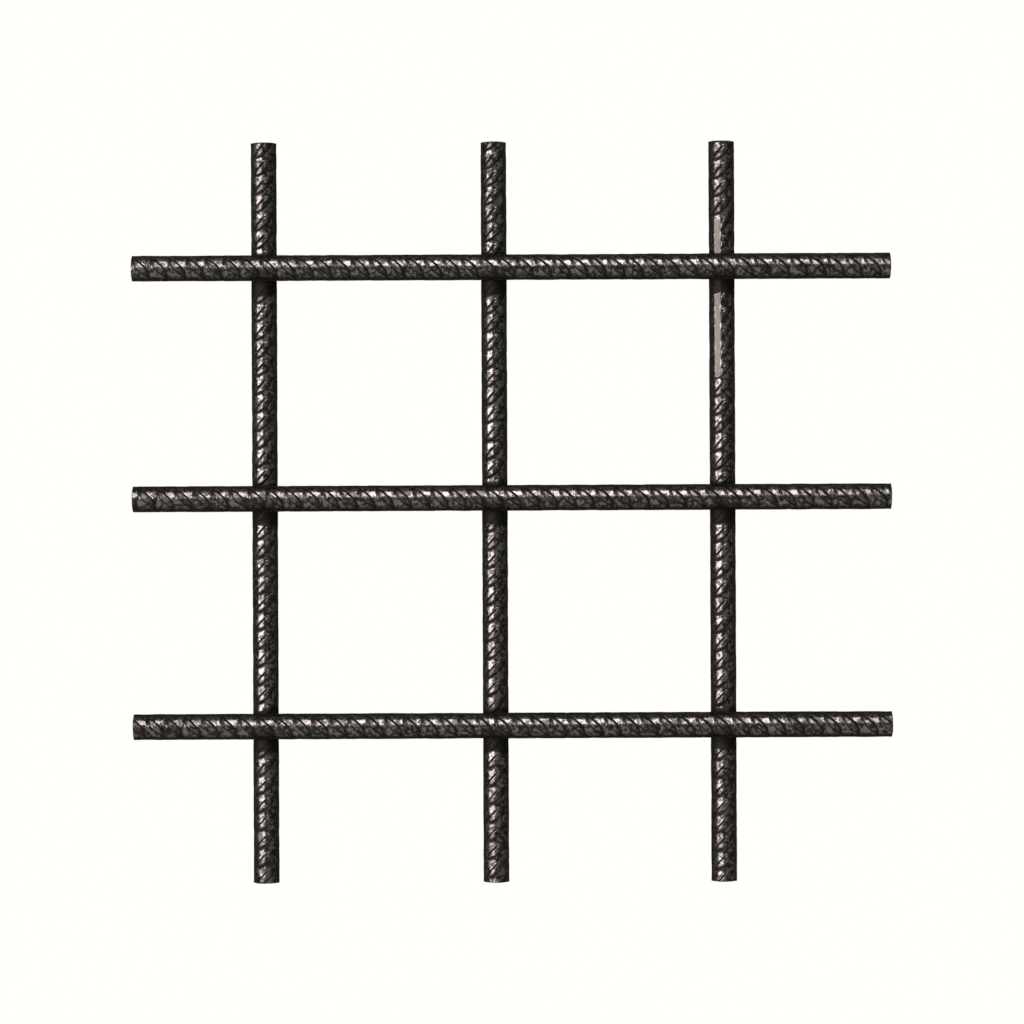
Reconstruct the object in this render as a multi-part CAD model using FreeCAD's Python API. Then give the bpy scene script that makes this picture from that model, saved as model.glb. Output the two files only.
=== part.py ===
import FreeCAD, Part
import math
import os

# Window security grille: three upright bars welded behind three level crossbars.
# All bars are cut from the same ribbed steel rod. Millimetres, +Z up, +X right,
# front towards -Y. The origin is the middle of the middle upright's foot.

# Grille layout
LEFT_SPACING = 110.7  # centre to centre, left and middle uprights
RIGHT_SPACING = 109.8  # centre to centre, middle and right uprights
UPPER_SPACING = 110.4  # centre to centre, top and middle crossbars
LOWER_SPACING = 109.0  # centre to centre, middle and bottom crossbars
TOP_OVERHANG = 60.9  # uprights above the top crossbar's centre
BOTTOM_OVERHANG = 75.9  # uprights below the bottom crossbar's centre
LEFT_OVERHANG = 62.5  # crossbars past the left upright's centre
RIGHT_OVERHANG = 79.9  # crossbars past the right upright's centre

# Ribbed rod
CORE_DIAMETER = 11.3  # round core between the ribs
RIB_HEIGHT = 0.65  # a slanted rib above the core, at its middle
RIB_PITCH = 8.74  # along the rod, from rib to rib of one row
RIB_SLANT = 40.0  # degrees from a square cut across the rod
RIB_WIDTH = 3.3  # across the rib
RIB_HALF_ARC = 80.0  # degrees round the core from a rib's middle to its end
ROW_STAGGER = 0.5  # of a pitch, between the front and the back row of ribs
SEAM_WIDTH = 1.8  # the two straight ribs along the rod's sides
SEAM_HEIGHT = 0.55
SEAM_ROOT_DEPTH = 1.0  # how far a seam's solid starts inside the core

# Distance from each bar's foot or left end to its first front rib
FIRST_RIB = {
    "upright_left": 3.1,
    "upright_middle": 6.4,
    "upright_right": 1.2,
    "crossbar_top": 4.6,
    "crossbar_middle": 7.3,
    "crossbar_bottom": 2.2,
}

# Flat dressed on the right upright's front, beside the top crossbar
FLAT_DEPTH = 0.2  # below the core's surface
FLAT_TURN = 25.0  # degrees from the front, towards the left
FLAT_ABOVE = 22.5  # reach above the top crossbar's centre
FLAT_BELOW = 50.6  # reach below the top crossbar's centre
FLAT_RUN_OUT = 3.0  # length of the ramp at each end

# Weld beads, one on each side of the upright behind every crossing
BEAD_RADIUS = 2.9
BEAD_RUN = 4.0  # length along the upright between the bead's round ends
BEAD_BITE = 1.0  # how far the bead's round section reaches into each rod

# Positions that follow from the sizes above
core_radius = CORE_DIAMETER / 2
rib_radius = core_radius + RIB_HEIGHT
axis_gap = 2 * rib_radius  # from the uprights' plane to the crossbars' plane
columns = {
    "left": -LEFT_SPACING,
    "middle": 0.0,
    "right": RIGHT_SPACING,
}
rows = {
    "top": BOTTOM_OVERHANG + LOWER_SPACING + UPPER_SPACING,
    "middle": BOTTOM_OVERHANG + LOWER_SPACING,
    "bottom": BOTTOM_OVERHANG,
}
upright_length = rows["top"] + TOP_OVERHANG
crossbar_left = columns["left"] - LEFT_OVERHANG
crossbar_length = columns["right"] + RIGHT_OVERHANG - crossbar_left
clear = 2 * rib_radius  # half the width of a cutting box that clears a rod

ORIGIN = FreeCAD.Vector(0, 0, 0)
X_AXIS = FreeCAD.Vector(1, 0, 0)
Y_AXIS = FreeCAD.Vector(0, 1, 0)
Z_AXIS = FreeCAD.Vector(0, 0, 1)


def outline_face(points):
    """A flat face bounded by straight lines through the points."""
    return Part.Face(Part.makePolygon(points + points[:1]))


def slanted_rib():
    """One front rib about the origin, low towards its two ends, which stop short of the seams."""
    reach = 2 * clear
    depth = clear - SEAM_WIDTH / 2
    slab = Part.makeBox(2 * reach, depth, RIB_WIDTH, FreeCAD.Vector(-reach, -clear, -RIB_WIDTH / 2))
    slab.rotate(ORIGIN, Y_AXIS, -RIB_SLANT)

    # The crest lies on a cylinder that leaves the core's surface at the rib's ends
    end_rise = core_radius * (1 - math.cos(math.radians(RIB_HALF_ARC))) + RIB_HEIGHT
    offset = RIB_HEIGHT * (RIB_HEIGHT + CORE_DIAMETER) / (2 * end_rise)
    start = FreeCAD.Vector(0, -offset, -reach)
    crest = Part.makeCylinder(rib_radius - offset, 2 * reach, start)
    return crest.common(slab).Solids[0]


def ribbed_rod(length):
    """Rod along +Z from the origin, its two rows of ribs facing -Y and +Y."""
    pieces = []
    rib = slanted_rib()
    for number in range(int(length / RIB_PITCH) + 1):
        for turn, lead in ((0, 0.0), (180, ROW_STAGGER)):
            copy = rib.copy()
            copy.rotate(ORIGIN, Z_AXIS, turn)
            copy.translate(Z_AXIS * (number + lead) * RIB_PITCH)
            pieces.append(copy)
    seam_reach = core_radius + SEAM_HEIGHT
    for start in (-seam_reach, core_radius - SEAM_ROOT_DEPTH):
        corner = FreeCAD.Vector(start, -SEAM_WIDTH / 2, 0)
        pieces.append(Part.makeBox(SEAM_HEIGHT + SEAM_ROOT_DEPTH, SEAM_WIDTH, length, corner))
    return Part.makeCylinder(core_radius, length).multiFuse(pieces)


def cut_to_length(rod, length, first_rib):
    """A square-cut bar from the rod, starting first_rib before one of its ribs."""
    start = 2 * RIB_PITCH - first_rib
    blank = Part.makeBox(2 * clear, 2 * clear, length, FreeCAD.Vector(-clear, -clear, start))
    bar = rod.common(blank).Solids[0]
    bar.translate(Z_AXIS * -start)
    return bar


def flat_cutter():
    """What is dressed off the right upright, with a ramp at both ends."""
    depth = core_radius - FLAT_DEPTH
    lift = RIB_HEIGHT + FLAT_DEPTH
    high = rows["top"] + FLAT_ABOVE
    low = rows["top"] - FLAT_BELOW
    profile = outline_face([
        FreeCAD.Vector(-clear, -depth, low),
        FreeCAD.Vector(-clear, -depth, high),
        FreeCAD.Vector(-clear, -depth - lift, high + FLAT_RUN_OUT),
        FreeCAD.Vector(-clear, -depth - lift, low - FLAT_RUN_OUT),
    ])
    cutter = profile.extrude(X_AXIS * 2 * clear)
    cutter.rotate(ORIGIN, Z_AXIS, -FLAT_TURN)
    return cutter


def weld_bead(upright, crossbar, x, z, side):
    """Bead in the groove beside the upright, against the crossbar's back."""
    depth = axis_gap - core_radius - BEAD_RADIUS + BEAD_BITE
    reach = core_radius + BEAD_RADIUS - BEAD_BITE
    centre_x = x + side * math.sqrt(reach ** 2 - depth ** 2)
    low = FreeCAD.Vector(centre_x, -depth, z - BEAD_RUN / 2)
    high = low + Z_AXIS * BEAD_RUN
    bead = Part.makeCylinder(BEAD_RADIUS, BEAD_RUN, low)
    for end in (low, high):
        bead = bead.fuse(Part.makeSphere(BEAD_RADIUS, end))
    bead = bead.cut(upright).cut(crossbar)
    return max(bead.Solids, key=lambda solid: solid.Volume)


parts = {}
rod = ribbed_rod(max(upright_length, crossbar_length) + 4 * RIB_PITCH)

for column, x in columns.items():
    name = f"upright_{column}"
    bar = cut_to_length(rod, upright_length, FIRST_RIB[name])
    if column == "right":
        bar = bar.cut(flat_cutter()).Solids[0]
    bar.translate(FreeCAD.Vector(x, 0, 0))
    parts[name] = bar

for row, z in rows.items():
    name = f"crossbar_{row}"
    bar = cut_to_length(rod, crossbar_length, FIRST_RIB[name])
    bar.rotate(ORIGIN, Y_AXIS, 90)
    bar.translate(FreeCAD.Vector(crossbar_left, -axis_gap, z))
    parts[name] = bar

for row, z in rows.items():
    for column, x in columns.items():
        upright = parts[f"upright_{column}"]
        crossbar = parts[f"crossbar_{row}"]
        for side_name, side in (("left", -1), ("right", 1)):
            name = f"weld_{row}_{column}_bead_{side_name}"
            parts[name] = weld_bead(upright, crossbar, x, z, side)

os.makedirs("parts", exist_ok=True)
for name, shape in parts.items():
    shape.exportStep(f"parts/{name}.step")
    box = shape.optimalBoundingBox(False)
    print(f"{name}: solids {len(shape.Solids)}, valid {shape.isValid()}, volume {shape.Volume:.1f}")
    print(f"  from {box.XMin:.2f} {box.YMin:.2f} {box.ZMin:.2f} to {box.XMax:.2f} {box.YMax:.2f} {box.ZMax:.2f}")
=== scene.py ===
import math

import bpy
import numpy as np
from mathutils import Matrix, Vector


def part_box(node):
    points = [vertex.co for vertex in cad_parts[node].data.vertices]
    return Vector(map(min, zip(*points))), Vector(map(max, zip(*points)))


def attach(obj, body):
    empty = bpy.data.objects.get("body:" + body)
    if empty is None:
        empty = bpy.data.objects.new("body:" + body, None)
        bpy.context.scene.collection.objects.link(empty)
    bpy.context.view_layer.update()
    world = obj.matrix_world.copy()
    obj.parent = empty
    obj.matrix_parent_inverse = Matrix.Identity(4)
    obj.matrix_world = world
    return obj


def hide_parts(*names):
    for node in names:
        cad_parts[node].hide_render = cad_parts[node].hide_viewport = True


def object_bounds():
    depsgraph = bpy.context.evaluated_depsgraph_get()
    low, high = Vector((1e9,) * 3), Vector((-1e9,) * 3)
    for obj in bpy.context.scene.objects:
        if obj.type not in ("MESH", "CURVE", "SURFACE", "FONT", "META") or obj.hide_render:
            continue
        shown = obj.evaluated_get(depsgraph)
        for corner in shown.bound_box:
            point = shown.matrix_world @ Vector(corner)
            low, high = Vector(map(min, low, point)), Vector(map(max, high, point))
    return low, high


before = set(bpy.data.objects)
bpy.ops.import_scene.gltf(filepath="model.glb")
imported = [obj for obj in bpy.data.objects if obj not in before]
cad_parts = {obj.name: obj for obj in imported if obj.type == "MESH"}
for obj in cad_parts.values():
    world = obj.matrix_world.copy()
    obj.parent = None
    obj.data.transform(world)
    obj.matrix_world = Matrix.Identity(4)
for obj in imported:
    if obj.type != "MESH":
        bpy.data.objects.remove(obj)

cad_low, cad_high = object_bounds()
cad_centre = (cad_low + cad_high) / 2
MM = 0.001

# Ribbed rod, in millimetres. The solids' ribs have square shoulders. These have sloped
# sides and the same width at half their height.
CORE_RADIUS = 5.65
RIB_HEIGHT = 0.65
RIB_PITCH = 8.74
RIB_SLANT = math.radians(40.0)
RIB_ROOT_WIDTH = 4.2
RIB_CREST_WIDTH = 2.4
RIB_HALF_ARC = math.radians(80.0)
ROW_STAGGER = 0.5
SEAM_WIDTH = 1.8
SEAM_HEIGHT = 0.55
FIRST_RIB = {
    "upright_left": 3.1,
    "upright_middle": 6.4,
    "upright_right": 1.2,
    "crossbar_top": 4.6,
    "crossbar_middle": 7.3,
    "crossbar_bottom": 2.2,
}

# Rounding and unevenness of the rod, in millimetres
RIB_FOOT_ROUND = 0.30
RIB_CREST_ROUND = 0.26
SEAM_SIDE = 1.1  # width of a seam's sloped side
END_ROUND = 0.22  # radius that rounds a sawn edge
RIB_SPREAD = 0.06  # of a rib's height, from rib to rib
LOWEST_RIB = 0.85  # of the full height
SPARE_RIBS = 3  # ribs with a height of their own past each end of a bar
SEAM_SWELL = (0.9, 0.1, 0.6)  # mean, spread and least share of a seam's height
SEAM_SWELL_GRAIN = 4.0

# Noise on the rod's skin: grain along and round the rod in millimetres, height or depth,
# and the value of the noise that caps it or from which it sets in
WAVE_GRAIN, WAVE_HEIGHT, WAVE_LIMIT = (9.0, 7.0), 0.022, 1.2
SKIN_GRAIN, SKIN_HEIGHT, SKIN_LIMIT = (0.75, 0.7), 0.010, 1.5
PIT_GRAIN, PIT_DEPTH, PIT_RISE = (0.9, 0.8), 0.11, (2.0, 3.1)

# Flat dressed on the right upright, beside the top crossbar
FLAT_DEPTH = 0.2
FLAT_TURN = math.radians(25.0)
FLAT_ABOVE = 22.5
FLAT_BELOW = 50.6
FLAT_RUN_OUT = 3.0
FLAT_WIDTH = 3.1
FLAT_LEFT_EDGE = (-0.15, 0.15)  # where the planing sets in, inwards from the strip's edge
FLAT_RIGHT_EDGE = (-0.45, 0.05)
BRIGHT_EDGE = (-0.1, 0.1)
BRIGHT_DEPTH = (0.0, 0.05)  # planing that takes the paint off

# Painted shadow round each crossing, longest below it, and made matt there too, as a reach
# from each crossing's middle
UPRIGHT_PAINTED_SHADOW = (13.4, 8.2)  # below and above
CROSSBAR_PAINTED_SHADOW = (7.0, 7.0)  # to both sides
SHADOW_FADE = 0.9
SHADOW_WANDER = 0.5
UPRIGHT_SHADE = (-0.35, 0.05)  # cosines from the front between which it sets in
UPRIGHT_BACK_SHADE = 0.15
CROSSBAR_SHADE = (0.1, 0.35)  # sines below the middle between which it sets in
CROSSBAR_SHADE_SHARE = 0.7
SHADE_WAVE = 0.1

# Wear: where a rib's crest begins, and how far round the rod the front and back are worn
CREST_RISE = (0.62, 0.92)  # shares of a rib's height
CROWN_RISE = (0.35, 0.85)  # cosines from the front or the back
FLANK_GUARD = 1.4  # how soon a slope beside a rib keeps its paint

# Sawn faces: the blade's shallow scores
SAW_DEPTH = 0.03
SCORE_DEPTH = 0.025
SCORE_RATE = 5.1  # radians per millimetre
SCORE_UNEVENNESS = 0.01

# Mesh of a bar
ALIGN_LENGTH = 14.0  # over which the rows turn from square to along the ribs
ALIGN_LIMIT = math.radians(73.0)  # from a row's middle, past which the rows turn back
ROWS_PER_PITCH = 24
END_STEP = 0.1  # between a sawn edge and the next row
END_CLEARANCE = 0.25  # from an end to the first evenly spaced row
SIDE_ANGLES = (0.0, 3.5, 6.5, 8.7, 10.9, 13.1, 15.6, 18.8)  # degrees from a seam
EVEN_ANGLES = 20  # from the last of the side angles to the front or the back
CAP_RINGS = (0.93, 0.82, 0.68, 0.52, 0.36, 0.19)

# Weld beads
BEAD_RADIUS = 2.9
BEAD_HALF_RUN = 2.0
BEAD_END_ARC = 0.5  # radians from the middle to where the round ends begin
BEAD_SEGMENTS = 44
BEAD_ROWS = 46
BEAD_SHARES = (0.93, 0.99)  # of the full radius, from bead to bead
BEAD_FREE_SIDE = 0.6  # how far the free side turns to the back, against 1 to the side
LUMP_GRAIN, LUMP_HEIGHT, LUMP_SPACING = (1.6, 1.6), 0.05, (0.22, 0.4)
RIPPLE_PITCH = 0.95
RIPPLE_DEPTH = 0.11
RIPPLE_DRAG = 0.55  # how far a ripple's edges trail its middle
RIPPLE_SHARPNESS = 1.6

# Random seed of the first piece of each kind; every next piece adds 1
FIRST_UPRIGHT_SEED = 11
FIRST_CROSSBAR_SEED = 21
FIRST_BEAD_SEED = 41

rows = {
    name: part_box(f"crossbar_{name}")
    for name in ("top", "middle", "bottom")
}
columns = {
    name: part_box(f"upright_{name}")
    for name in ("left", "middle", "right")
}


# ---------------------------------------------------------------- shape tools

def smooth_max(a, b, softness):
    """The larger of two fields, rounded where they meet."""
    gap = np.maximum(softness - np.abs(a - b), 0.0) / softness
    return np.maximum(a, b) + gap * gap * softness / 4


def smooth_min(a, b, softness):
    return -smooth_max(-a, -b, softness)


def rise(x, start, end):
    """A smooth step from 0 to 1 between two values of x."""
    share = np.clip((x - start) / (end - start), 0.0, 1.0)
    return share * share * (3 - 2 * share)


def surface_noise(shape, spacing, grain, rng):
    """Smooth noise of mean 0 and spread 1, its grain in mm, closed round the second axis."""
    spectrum = np.fft.rfft2(rng.standard_normal(shape))
    along = np.fft.fftfreq(shape[0], spacing[0])[:, None]
    around = np.fft.rfftfreq(shape[1], spacing[1])[None, :]
    spectrum *= np.exp(-2 * ((along * grain[0]) ** 2 + (around * grain[1]) ** 2))
    noise = np.fft.irfft2(spectrum, shape)
    return (noise - noise.mean()) / noise.std()


def new_mesh(name, points, polygons, fields=None):
    """A smooth mesh from points in millimetres; fields are attributes of its points."""
    mesh = bpy.data.meshes.new(name)
    mesh.from_pydata((points * MM).tolist(), [], polygons)
    for label, values in (fields or {}).items():
        attribute = mesh.attributes.new(label, "FLOAT", "POINT")
        attribute.data.foreach_set("value", values)
    mesh.shade_smooth()
    mesh.update()
    return mesh


def tube_quads(index):
    """Faces between the rows of a grid of points that closes round its second axis."""
    after = np.roll(index, -1, axis=1)
    return np.stack([index[:-1], after[:-1], after[1:], index[1:]], axis=-1).reshape(-1, 4)


# ---------------------------------------------------------------- ribbed rods

def rod_angles():
    """Angles round the rod from its front, closer together beside the two seams."""
    even = np.linspace(SIDE_ANGLES[-1], 90.0, EVEN_ANGLES)[1:]
    quarter = np.radians(np.concatenate([SIDE_ANGLES, even]))
    half = np.concatenate([quarter, math.pi - quarter[-2:0:-1]])
    return np.concatenate([half, half + math.pi]) + math.pi / 2


def rod_rows(length, first_rib):
    """Even places along the rod, in step with its ribs."""
    step = RIB_PITCH / ROWS_PER_PITCH
    places = first_rib % step + np.arange(int(length / step) + 1) * step
    places = places[(places > END_CLEARANCE) & (places < length - END_CLEARANCE)]
    return np.concatenate([[0.0, END_STEP], places, [length - END_STEP, length]])


def rib_height(angle, along, first_rib, heights):
    """Height of one row of slanted ribs over the core; angle is from the row's middle."""
    flank = (RIB_ROOT_WIDTH - RIB_CREST_WIDTH) / 2 / RIB_HEIGHT

    # The crest lies on a cylinder that leaves the core's surface at the rib's ends
    end_rise = CORE_RADIUS * (1 - math.cos(RIB_HALF_ARC)) + RIB_HEIGHT
    offset = RIB_HEIGHT * (RIB_HEIGHT + 2 * CORE_RADIUS) / (2 * end_rise)
    crest_radius = CORE_RADIUS + RIB_HEIGHT - offset
    sine = np.sin(angle)
    crest = offset * np.cos(angle) + np.sqrt(crest_radius ** 2 - (offset * sine) ** 2)

    # Sloped sides, steeper to the core where the slanted rib runs along the rod
    stretch = np.sqrt(1 + (sine * math.tan(RIB_SLANT)) ** 2)
    half_root = RIB_ROOT_WIDTH / 2 - flank * CORE_RADIUS * (stretch - 1)
    shift = along - CORE_RADIUS * sine * math.tan(RIB_SLANT) - first_rib
    number = np.round(shift / RIB_PITCH)
    distance = np.abs(shift - number * RIB_PITCH) * math.cos(RIB_SLANT)
    own = heights[np.clip(number.astype(int) + SPARE_RIBS, 0, len(heights) - 1)]
    top = np.maximum(crest - CORE_RADIUS, 0.0) * own
    side = smooth_max((half_root - distance) / flank, 0.0, RIB_FOOT_ROUND)
    height = smooth_min(top, side, RIB_CREST_ROUND)
    return np.maximum(height, 0.0)


def seam_height(angle, swell):
    """Height over the core of the straight ribs at the rod's two sides."""
    # Flat on top. The 0.5 only keeps the front and the back clear of a division by zero
    across = CORE_RADIUS * np.cos(angle)
    top = (CORE_RADIUS + SEAM_HEIGHT * swell) / np.maximum(np.abs(np.sin(angle)), 0.5)
    edge = rise(SEAM_WIDTH / 2 - np.abs(across), -SEAM_SIDE / 2, SEAM_SIDE / 2)
    return np.maximum(top - CORE_RADIUS, 0.0) * edge


def dress_flat(x, y, z, low, high):
    """Planes the flat into the right upright; the third result is where steel shows."""
    normal = (-math.sin(FLAT_TURN), -math.cos(FLAT_TURN))
    outside = np.maximum(np.maximum(low - z, z - high), 0.0)
    ramp = (RIB_HEIGHT + FLAT_DEPTH) / FLAT_RUN_OUT
    depth = CORE_RADIUS - FLAT_DEPTH + outside * ramp
    lost = np.maximum(x * normal[0] + y * normal[1] - depth, 0.0)
    rightward = y * normal[0] - x * normal[1]
    half_width = FLAT_WIDTH / 2
    bright = rise(lost, *BRIGHT_DEPTH)
    bright *= rise(half_width - np.abs(rightward), *BRIGHT_EDGE)
    lost *= rise(half_width + rightward, *FLAT_LEFT_EDGE)
    lost *= rise(half_width - rightward, *FLAT_RIGHT_EDGE)
    return x - lost * normal[0], y - lost * normal[1], bright


def shadowed(along, crossings, reach):
    """Painted shadow, also left matt: over each crossing and past it."""
    share = np.zeros(along.shape)
    for middle in crossings:
        start = rise(along - middle + reach[0], 0.0, SHADOW_FADE)
        end = rise(middle + reach[1] - along, 0.0, SHADOW_FADE)
        share = np.maximum(share, start * end)
    return share


def shadow_on_upright(around, wave):
    """Share of the painted shadow round an upright: its front, with little left at the back.
    """
    front = rise(np.cos(around) + SHADE_WAVE * wave, *UPRIGHT_SHADE)
    return UPRIGHT_BACK_SHADE + (1 - UPRIGHT_BACK_SHADE) * front


def shadow_on_crossbar(around, wave):
    """Share of the painted shade round a crossbar: its lower half only, where the shade falls.
    """
    return CROSSBAR_SHADE_SHARE * rise(np.sin(around) + SHADE_WAVE * wave, *CROSSBAR_SHADE)


def sawn_rings(rim, end, outward, rng):
    """Rings of a sawn face, from its edge towards its middle, scored by the blade."""
    turn = rng.uniform(0, math.pi)
    rings = []
    for share in CAP_RINGS:
        ring = rim * share
        scores = np.sin((ring @ [math.cos(turn), math.sin(turn)]) * SCORE_RATE)
        uneven = SCORE_UNEVENNESS * rng.standard_normal(len(rim))
        depth = SAW_DEPTH + SCORE_DEPTH * scores + uneven
        rings.append(np.column_stack([ring, end - outward * depth]))
    return rings


def bar_mesh(name, length, first_rib, seed, crossings, reach, shadow_round, flat=None):
    """A bar from the origin along +Z, its rows of ribs facing -Y and +Y."""
    rng = np.random.default_rng(seed)
    around, place = np.meshgrid(rod_angles(), rod_rows(length, first_rib))
    shape = around.shape
    edge = np.minimum(place, length - place)

    # The rows of the mesh lie along the ribs, and square at the two ends
    facing = np.clip(np.cos(around) / math.cos(ALIGN_LIMIT), -1, 1)
    facing = facing * (1.5 - 0.5 * facing ** 2)
    slant = CORE_RADIUS * math.tan(RIB_SLANT) * np.sin(around) * facing
    along = place + slant * rise(edge, 0.0, ALIGN_LENGTH)

    # Two rows of ribs and two seams
    spacing = (length / shape[0], 2 * math.pi * CORE_RADIUS / shape[1])
    rib_count = int(length / RIB_PITCH) + 2 * SPARE_RIBS + 2
    heights = np.clip(1 + RIB_SPREAD * rng.standard_normal(rib_count), LOWEST_RIB, 1.0)
    front = rib_height(around, along, first_rib, heights)
    first_back = first_rib + ROW_STAGGER * RIB_PITCH
    back = rib_height(around - math.pi, along, first_back, heights[::-1])
    rib = np.maximum(front, back)
    swell = surface_noise((shape[0], 2), (spacing[0], 1.0), (SEAM_SWELL_GRAIN, 0.0), rng)
    mean, spread, least = SEAM_SWELL
    seam = seam_height(around, np.clip(mean + spread * swell[:, :1], least, 1.0))
    radius = CORE_RADIUS + np.maximum(rib, seam)

    # Waves of the rolling, a pebbled skin and a few pits
    wave = surface_noise(shape, spacing, WAVE_GRAIN, rng)
    skin = surface_noise(shape, spacing, SKIN_GRAIN, rng)
    pits = surface_noise(shape, spacing, PIT_GRAIN, rng)
    radius += WAVE_HEIGHT * np.minimum(wave, WAVE_LIMIT)
    radius += SKIN_HEIGHT * np.minimum(skin, SKIN_LIMIT)
    radius -= PIT_DEPTH * rise(pits, *PIT_RISE)
    radius -= END_ROUND * np.clip(1 - edge / END_STEP, 0, 1)
    x = radius * np.sin(around)
    y = -radius * np.cos(around)
    dressed = np.zeros(shape)
    if flat:
        x, y, dressed = dress_flat(x, y, along, *flat)

    # What the paint's nodes need to know about each point
    # Painted shadow round the crossings, longest below the crossbars
    painted_shadow = shadowed(along + SHADOW_WANDER * wave, crossings, reach)
    painted_shadow *= shadow_round(around, wave)
    if flat:
        # Painted shadow of the top crossbar on the steel of the flat, below the crossbar and
        # not above it
        dressed *= 1 - painted_shadow * (along < flat[0] + FLAT_BELOW)
    share = rib / RIB_HEIGHT
    steep = np.clip(4 * share * (1 - share), 0, 1)
    crown = rise(np.abs(np.cos(around)), *CROWN_RISE)
    fields = {
        "crest": rise(share, *CREST_RISE),
        "dressed": dressed,
        "painted_shadow": painted_shadow,
        "flank": steep,
        "wear": np.clip(1 - FLANK_GUARD * steep, 0, 1) * crown * (1 - painted_shadow),
        "sawn": (edge < END_STEP / 2).astype(float),
    }

    # Faces of the rod, then of its two sawn ends, each closed by a fan round its middle
    count = shape[1]
    index = np.arange(shape[0] * count).reshape(shape)
    points = [np.stack([x, y, along], axis=-1).reshape(-1, 3)]
    faces = tube_quads(index).tolist()
    fans = []
    total = index.size
    for end, row, outward in ((0.0, 0, -1), (length, shape[0] - 1, 1)):
        rim = np.stack([x[row], y[row]], axis=-1)
        points += sawn_rings(rim, end, outward, rng)
        points.append(np.array([[0.0, 0.0, end - outward * SAW_DEPTH]]))
        outer = index[row]
        for _ in CAP_RINGS:
            inner = np.arange(total, total + count)
            quads = [outer, inner, np.roll(inner, -1), np.roll(outer, -1)]
            faces += np.stack(quads[::-outward], axis=-1).tolist()
            outer = inner
            total += count
        fan = [outer, np.full(count, total), np.roll(outer, -1)]
        fans += np.stack(fan[::-outward], axis=-1).tolist()
        total += 1

    capped = total - index.size
    fields = {
        label: np.concatenate([values.ravel(), np.full(capped, float(label == "sawn"))])
        for label, values in fields.items()
    }
    return new_mesh(name, np.concatenate(points), faces + fans, fields)


# ---------------------------------------------------------------- weld beads

def bead_mesh(name, toward, seed):
    """A rippled weld bead along Z about the origin, free on the side of toward in XY."""
    rng = np.random.default_rng(seed)
    turn = np.linspace(0, 2 * math.pi, BEAD_SEGMENTS, endpoint=False)
    level = np.linspace(-math.pi / 2, math.pi / 2, BEAD_ROWS)[1:-1]
    around, up = np.meshgrid(turn, level)
    straight = BEAD_HALF_RUN * np.clip(up / BEAD_END_ARC, -1, 1)
    along = straight + BEAD_RADIUS * np.sin(up)
    free = np.cos(around - math.atan2(toward[1], toward[0]))
    drag = along + RIPPLE_DRAG * (1 - free)
    phase = (drag / RIPPLE_PITCH + rng.uniform()) % 1.0
    ripple = RIPPLE_DEPTH * ((1 - phase) ** RIPPLE_SHARPNESS - 1)
    radius = BEAD_RADIUS * rng.uniform(*BEAD_SHARES) + ripple
    lump = surface_noise(around.shape, LUMP_SPACING, LUMP_GRAIN, rng)
    radius = (radius + LUMP_HEIGHT * lump) * np.cos(up)

    points = np.stack([radius * np.cos(around), radius * np.sin(around), along], axis=-1)
    tip = BEAD_HALF_RUN + BEAD_RADIUS
    ends = np.array([[0, 0, -tip], [0, 0, tip]])
    index = np.arange(around.size).reshape(around.shape)
    bottom, top = index[0], index[-1]
    low_tip = np.full(BEAD_SEGMENTS, index.size)
    fans = np.concatenate([
        np.stack([np.roll(bottom, -1), low_tip, bottom], axis=-1),
        np.stack([top, np.roll(top, -1), low_tip + 1], axis=-1),
    ])
    everything = np.concatenate([points.reshape(-1, 3), ends])
    return new_mesh(name, everything, tube_quads(index).tolist() + fans.tolist())


# ------------------------------------------------------------------ materials

# Colours; a pair is the dark and the light end of a pattern
PAINT = ((0.030, 0.0275, 0.025, 1), (0.080, 0.068, 0.065, 1))
WARM_PAINT = (0.090, 0.068, 0.062, 1)
COOL_PAINT = (0.040, 0.040, 0.035, 1)
RUST = (0.09, 0.055, 0.043, 1)
# Darker colour of the rib flanks
FLANK_DARK = (0.02, 0.018, 0.016, 1)
# Colour of the painted shadow at and below the crossings
PAINTED_SHADOW_COLOUR = (0.027, 0.0235, 0.020, 1)
WORN_STEEL = (0.35, 0.305, 0.292, 1)
DRESSED_STEEL = ((0.27, 0.243, 0.219, 1), (0.41, 0.366, 0.330, 1))
SAWN_STEEL = ((0.022, 0.016, 0.014, 1), (0.075, 0.05, 0.04, 1))

# How much of each shows where it is strongest
WARM_SHARE = 0.4
COOL_SHARE = 0.75
RUST_SHARE = 0.3
FLANK_DARK_SHARE = 0.65
WORN_SHARE = 0.55

# Roughness: the paint's least and its spread, and of each other surface
PAINT_ROUGHNESS = (0.15, 0.14)
RUST_ROUGHNESS = 1.1  # times the rust's share
DRESSED_ROUGHNESS = 0.7
SHADOW_ROUGHNESS = 0.6
FLANK_ROUGHNESS = 0.55
SAWN_ROUGHNESS = 0.5

# Noise, in grains per metre, and the values of it between which a pattern sets in
WARM_SCALE, WARM_RISE = 70.0, (0.55, 0.75)
COOL_SCALE, COOL_RISE = 170.0, (0.53, 0.57)
RUST_SCALE, RUST_RISE = 190.0, (0.66, 0.76)
MOTTLE_SCALE, MOTTLE_RISE = 420.0, (0.36, 0.66)
SAWN_RISE = (0.35, 0.65)  # of the mottle
WORN_SCALE, WORN_RISE = 520.0, (0.465, 0.55)
FINE_SCALE = 2600.0
GRIND_SCALE, GRIND_RISE = 5200.0, (0.3, 0.7)
GRIND_STRETCH = (1.0, 1.0, 0.06)
BUMP_SHARES = (0.7, 0.2)  # of the mottle and the fine grain


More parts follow.
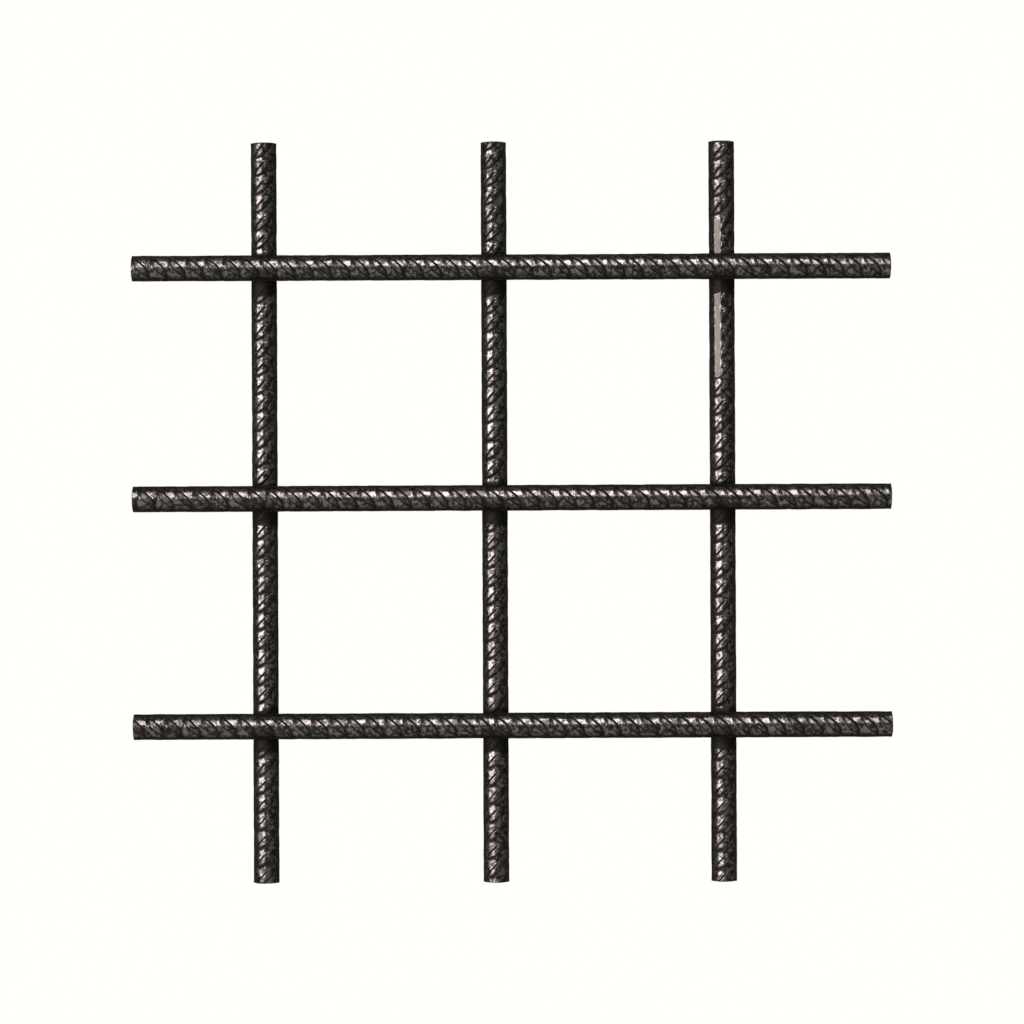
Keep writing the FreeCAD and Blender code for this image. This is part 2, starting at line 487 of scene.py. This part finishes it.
class Nodes:
    """Short names for building the node tree of a new material or world."""

    def __init__(self, owner):
        owner.use_nodes = True
        self.tree = owner.node_tree
        self.tree.nodes.clear()

    def set(self, socket, value):
        if isinstance(value, bpy.types.NodeSocket):
            self.tree.links.new(value, socket)
        else:
            socket.default_value = value

    def add(self, kind, inputs=None, **settings):
        node = self.tree.nodes.new(kind)
        for key, value in settings.items():
            setattr(node, key, value)
        for key, value in (inputs or {}).items():
            self.set(node.inputs[key], value)
        return node

    def math(self, operation, a, b):
        return self.add("ShaderNodeMath", {0: a, 1: b}, operation=operation).outputs[0]

    def noise(self, place, scale, detail=3.0, roughness=0.55):
        inputs = {"Vector": place, "Scale": scale, "Detail": detail, "Roughness": roughness}
        return self.add("ShaderNodeTexNoise", inputs).outputs["Fac"]

    def ramp(self, value, low, high):
        inputs = {"Value": value, "From Min": low, "From Max": high}
        node = self.add("ShaderNodeMapRange", inputs, interpolation_type="SMOOTHSTEP")
        return node.outputs["Result"]

    def blend(self, share, a, b):
        node = self.add("ShaderNodeMix", data_type="RGBA")
        for number, value in ((0, share), (6, a), (7, b)):
            self.set(node.inputs[number], value)
        return node.outputs[2]

    def attribute(self, label):
        return self.add("ShaderNodeAttribute", attribute_name=label).outputs["Fac"]


def paint_material(name):
    """Near-black paint on rolled steel: worn crowns, darker rib flanks, painted shadow at the
    crossings, a dressed flat, sawn ends, light rust.
    """
    material = bpy.data.materials.new(name)
    n = Nodes(material)

    # Each piece has its own cut of the patterns
    where = n.add("ShaderNodeTexCoord").outputs["Object"]
    lot = n.add("ShaderNodeObjectInfo").outputs["Random"]
    shift = n.add("ShaderNodeCombineXYZ", {0: lot, 1: lot, 2: lot}).outputs[0]
    place = n.add("ShaderNodeVectorMath", {0: where, 1: shift}, operation="ADD").outputs[0]

    mottle = n.noise(place, MOTTLE_SCALE, detail=4.0)
    crest = n.attribute("crest")
    dressed = n.attribute("dressed")
    sawn = n.attribute("sawn")
    painted_shadow = n.attribute("painted_shadow")
    flank = n.attribute("flank")

    # Paint, mottled, warmer and cooler in places
    colour = n.blend(n.ramp(mottle, *MOTTLE_RISE), *PAINT)
    warm = n.ramp(n.noise(place, WARM_SCALE), *WARM_RISE)
    warm = n.math("MULTIPLY", warm, WARM_SHARE)
    colour = n.blend(warm, colour, WARM_PAINT)
    cool = n.ramp(n.noise(place, COOL_SCALE), *COOL_RISE)
    cool = n.math("MULTIPLY", cool, COOL_SHARE)
    cool = n.math("MULTIPLY", cool, n.math("SUBTRACT", 1.0, crest))
    colour = n.blend(cool, colour, COOL_PAINT)

    # Rust, darker rib flanks, painted shadow at the crossings, and wear
    rust = n.noise(place, RUST_SCALE, detail=5.0, roughness=0.65)
    rust = n.ramp(rust, *RUST_RISE)
    rust = n.math("MULTIPLY", rust, RUST_SHARE)
    colour = n.blend(rust, colour, RUST)
    # Darker on the rib flanks, halfway up each rib
    colour = n.blend(n.math("MULTIPLY", flank, FLANK_DARK_SHARE), colour, FLANK_DARK)
    # Painted shadow below and round each crossing
    colour = n.blend(painted_shadow, colour, PAINTED_SHADOW_COLOUR)
    worn = n.ramp(n.noise(place, WORN_SCALE), *WORN_RISE)
    worn = n.math("MULTIPLY", n.attribute("wear"), worn)
    worn = n.math("MULTIPLY", worn, WORN_SHARE)
    colour = n.blend(worn, colour, WORN_STEEL)

    # Bare steel: ground along the flat, and sawn ends gone brown
    grind = n.add("ShaderNodeMapping", {"Vector": place, "Scale": GRIND_STRETCH}).outputs[0]
    ground = n.ramp(n.noise(grind, GRIND_SCALE, detail=2.0), *GRIND_RISE)
    steel = n.blend(ground, *DRESSED_STEEL)
    colour = n.blend(dressed, colour, steel)
    cut = n.blend(n.ramp(mottle, *SAWN_RISE), *SAWN_STEEL)
    colour = n.blend(sawn, colour, cut)

    least, spread = PAINT_ROUGHNESS
    rough = n.math("ADD", n.math("MULTIPLY", mottle, spread), least)
    for share, roughness in (
        (rust, RUST_ROUGHNESS),
        (dressed, DRESSED_ROUGHNESS),
        (painted_shadow, SHADOW_ROUGHNESS),
        (flank, FLANK_ROUGHNESS),
        (sawn, SAWN_ROUGHNESS),
    ):
        rough = n.math("MAXIMUM", rough, n.math("MULTIPLY", share, roughness))
    coarse = n.math("MULTIPLY", mottle, BUMP_SHARES[0])
    fine = n.math("MULTIPLY", n.noise(place, FINE_SCALE), BUMP_SHARES[1])
    height = n.math("ADD", coarse, fine)
    bump = n.add("ShaderNodeBump", {"Height": height, "Strength": 0.2, "Distance": 0.00012})

    shader = n.add("ShaderNodeBsdfPrincipled", {
        "Base Color": colour,
        "Roughness": rough,
        "Normal": bump.outputs[0],
        "Metallic": 0.8,
        "Specular Tint": (0.08, 0.07, 0.06, 1),
        "Specular IOR Level": 0.1,
    })
    n.add("ShaderNodeOutputMaterial", {"Surface": shader.outputs[0]})
    return material


# --------------------------------------------------------------------- pieces

def add_piece(name, mesh, material, place, node):
    piece = bpy.data.objects.new(name, mesh)
    bpy.context.scene.collection.objects.link(piece)
    piece.matrix_world = place
    mesh.materials.append(material)
    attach(piece, "root")
    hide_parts(node)


bar_paint = paint_material("bar_paint")
weld_paint = paint_material("weld_paint")
row_levels = {name: (low.z + high.z) / 2 for name, (low, high) in rows.items()}
column_places = {name: (low.x + high.x) / 2 for name, (low, high) in columns.items()}

for seed, (side, (low, high)) in enumerate(columns.items(), FIRST_UPRIGHT_SEED):
    node = f"upright_{side}"
    middle = (low + high) / 2
    crossings = [(z - low.z) / MM for z in row_levels.values()]
    flat = None
    if side == "right":
        top_crossing = (row_levels["top"] - low.z) / MM
        flat = (top_crossing - FLAT_BELOW, top_crossing + FLAT_ABOVE)
    mesh = bar_mesh(node + "_rod", (high.z - low.z) / MM, FIRST_RIB[node], seed,
                    crossings, UPRIGHT_PAINTED_SHADOW, shadow_on_upright, flat)
    place = Matrix.Translation((middle.x, middle.y, low.z))
    add_piece(node + "_rod", mesh, bar_paint, place, node)

for seed, (level, (low, high)) in enumerate(rows.items(), FIRST_CROSSBAR_SEED):
    node = f"crossbar_{level}"
    middle = (low + high) / 2
    crossings = [(x - low.x) / MM for x in column_places.values()]
    mesh = bar_mesh(node + "_rod", (high.x - low.x) / MM, FIRST_RIB[node], seed,
                    crossings, CROSSBAR_PAINTED_SHADOW, shadow_on_crossbar)
    place = Matrix.Translation((low.x, middle.y, middle.z))
    place = place @ Matrix.Rotation(math.pi / 2, 4, "Y")
    add_piece(node + "_rod", mesh, bar_paint, place, node)

seed = FIRST_BEAD_SEED
for level in rows:
    for side in columns:
        for hand in ("left", "right"):
            node = f"weld_{level}_{side}_bead_{hand}"
            low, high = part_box(node)
            out = -1 if hand == "left" else 1
            outer = low.x if hand == "left" else high.x
            middle = Vector((
                outer - out * BEAD_RADIUS * MM,
                low.y + BEAD_RADIUS * MM,
                (low.z + high.z) / 2,
            ))
            mesh = bead_mesh(node + "_ripple", (out, BEAD_FREE_SIDE), seed)
            place = Matrix.Translation(middle)
            add_piece(node + "_ripple", mesh, weld_paint, place, node)
            seed += 1


# --------------------------------------------------- floor, world and lighting

BACKGROUND = (1.0, 1.0, 0.965, 1)
AMBIENT = (0.145, 0.148, 0.15, 1)
BACKDROP_EDGE = (0.3, 0.85)  # how far back a reflection looks before it meets the white
FLOOR_COLOUR = (0.80, 0.80, 0.78, 1)
FLOOR_DROP = 0.45
FLOOR_FADE = (0.9, 2.3)  # radii between which the floor melts into the backdrop
FLOOR_SIDES = 96

LAMP_DISTANCE = 5.0
LAMP_TINT = (1.0, 0.98, 0.97)
LAMPS = {  # degrees from the front to the left, degrees up, width and height, watts
    "strip_left": (43.0, 0.5, (5.0, 1.25), 176.0),
    "strip_top": (0.0, 42.0, (1.25, 4.6), 150.0),
}

LENS = 135.0
SENSOR = 36.0
PICTURE_WIDTH = 0.4918  # metres across the picture, at the grille
ROLL = math.radians(-0.25)


def pale_floor():
    """A matt off-white floor that fades into the white around it and keeps the shadow."""
    material = bpy.data.materials.new("floor_pale")
    n = Nodes(material)
    where = n.add("ShaderNodeTexCoord").outputs["Object"]
    reach = n.add("ShaderNodeVectorMath", {0: where}, operation="LENGTH").outputs["Value"]
    matt = n.add("ShaderNodeBsdfDiffuse", {"Color": FLOOR_COLOUR})
    clear = n.add("ShaderNodeBsdfTransparent")
    mix = n.add("ShaderNodeMixShader", {
        0: n.ramp(reach, *FLOOR_FADE), 1: matt.outputs[0], 2: clear.outputs[0]})
    n.add("ShaderNodeOutputMaterial", {"Surface": mix.outputs[0]})
    turns = np.linspace(0, 2 * math.pi, FLOOR_SIDES, endpoint=False)
    rim = [(FLOOR_FADE[1] * math.cos(t), FLOOR_FADE[1] * math.sin(t), 0.0) for t in turns]
    mesh = bpy.data.meshes.new("floor")
    mesh.from_pydata(rim, [], [tuple(range(FLOOR_SIDES))])
    mesh.materials.append(material)
    floor = bpy.data.objects.new("floor", mesh)
    floor.location = (cad_centre.x, cad_centre.y, cad_low.z - FLOOR_DROP)
    bpy.context.scene.collection.objects.link(floor)


def studio_world():
    """Plain dim fill; white to the camera, and behind the grille white in reflections too."""
    world = bpy.data.worlds.new("studio")
    bpy.context.scene.world = world
    n = Nodes(world)
    ray = n.add("ShaderNodeLightPath").outputs
    heading = n.add("ShaderNodeTexCoord").outputs["Generated"]
    backward = n.add("ShaderNodeSeparateXYZ", {0: heading}).outputs["Y"]
    mirrored = n.math("MAXIMUM", ray["Is Glossy Ray"], ray["Is Transmission Ray"])
    mirrored = n.math("MULTIPLY", mirrored, n.ramp(backward, *BACKDROP_EDGE))
    share = n.math("MAXIMUM", ray["Is Camera Ray"], mirrored)
    colour = n.blend(share, AMBIENT, BACKGROUND)
    background = n.add("ShaderNodeBackground", {"Color": colour})
    n.add("ShaderNodeOutputWorld", {"Surface": background.outputs[0]})


def area_lamp(name, azimuth, elevation, size, power):
    """A rectangular softbox aimed at the grille."""
    data = bpy.data.lights.new(name, "AREA")
    data.shape = "RECTANGLE"
    data.size, data.size_y = size
    data.energy = power
    data.color = LAMP_TINT
    lamp = bpy.data.objects.new(name, data)
    a, e = math.radians(azimuth), math.radians(elevation)
    away = Vector((-math.sin(a) * math.cos(e), -math.cos(a) * math.cos(e), math.sin(e)))
    lamp.location = cad_centre + away * LAMP_DISTANCE
    lamp.rotation_euler = (-away).to_track_quat("-Z", "Y").to_euler()
    bpy.context.scene.collection.objects.link(lamp)


def front_camera():
    data = bpy.data.cameras.new("camera")
    data.lens = LENS
    data.sensor_width = SENSOR
    distance = PICTURE_WIDTH * LENS / SENSOR
    camera = bpy.data.objects.new("camera", data)
    camera.location = (cad_centre.x, cad_centre.y - distance, cad_centre.z)
    level = Matrix.Rotation(math.pi / 2, 4, "X")
    camera.rotation_euler = (level @ Matrix.Rotation(ROLL, 4, "Z")).to_euler()
    bpy.context.scene.collection.objects.link(camera)
    bpy.context.scene.camera = camera


pale_floor()
studio_world()
for name, settings in LAMPS.items():
    area_lamp(name, *settings)
front_camera()
bpy.context.scene.view_settings.view_transform = "Standard"
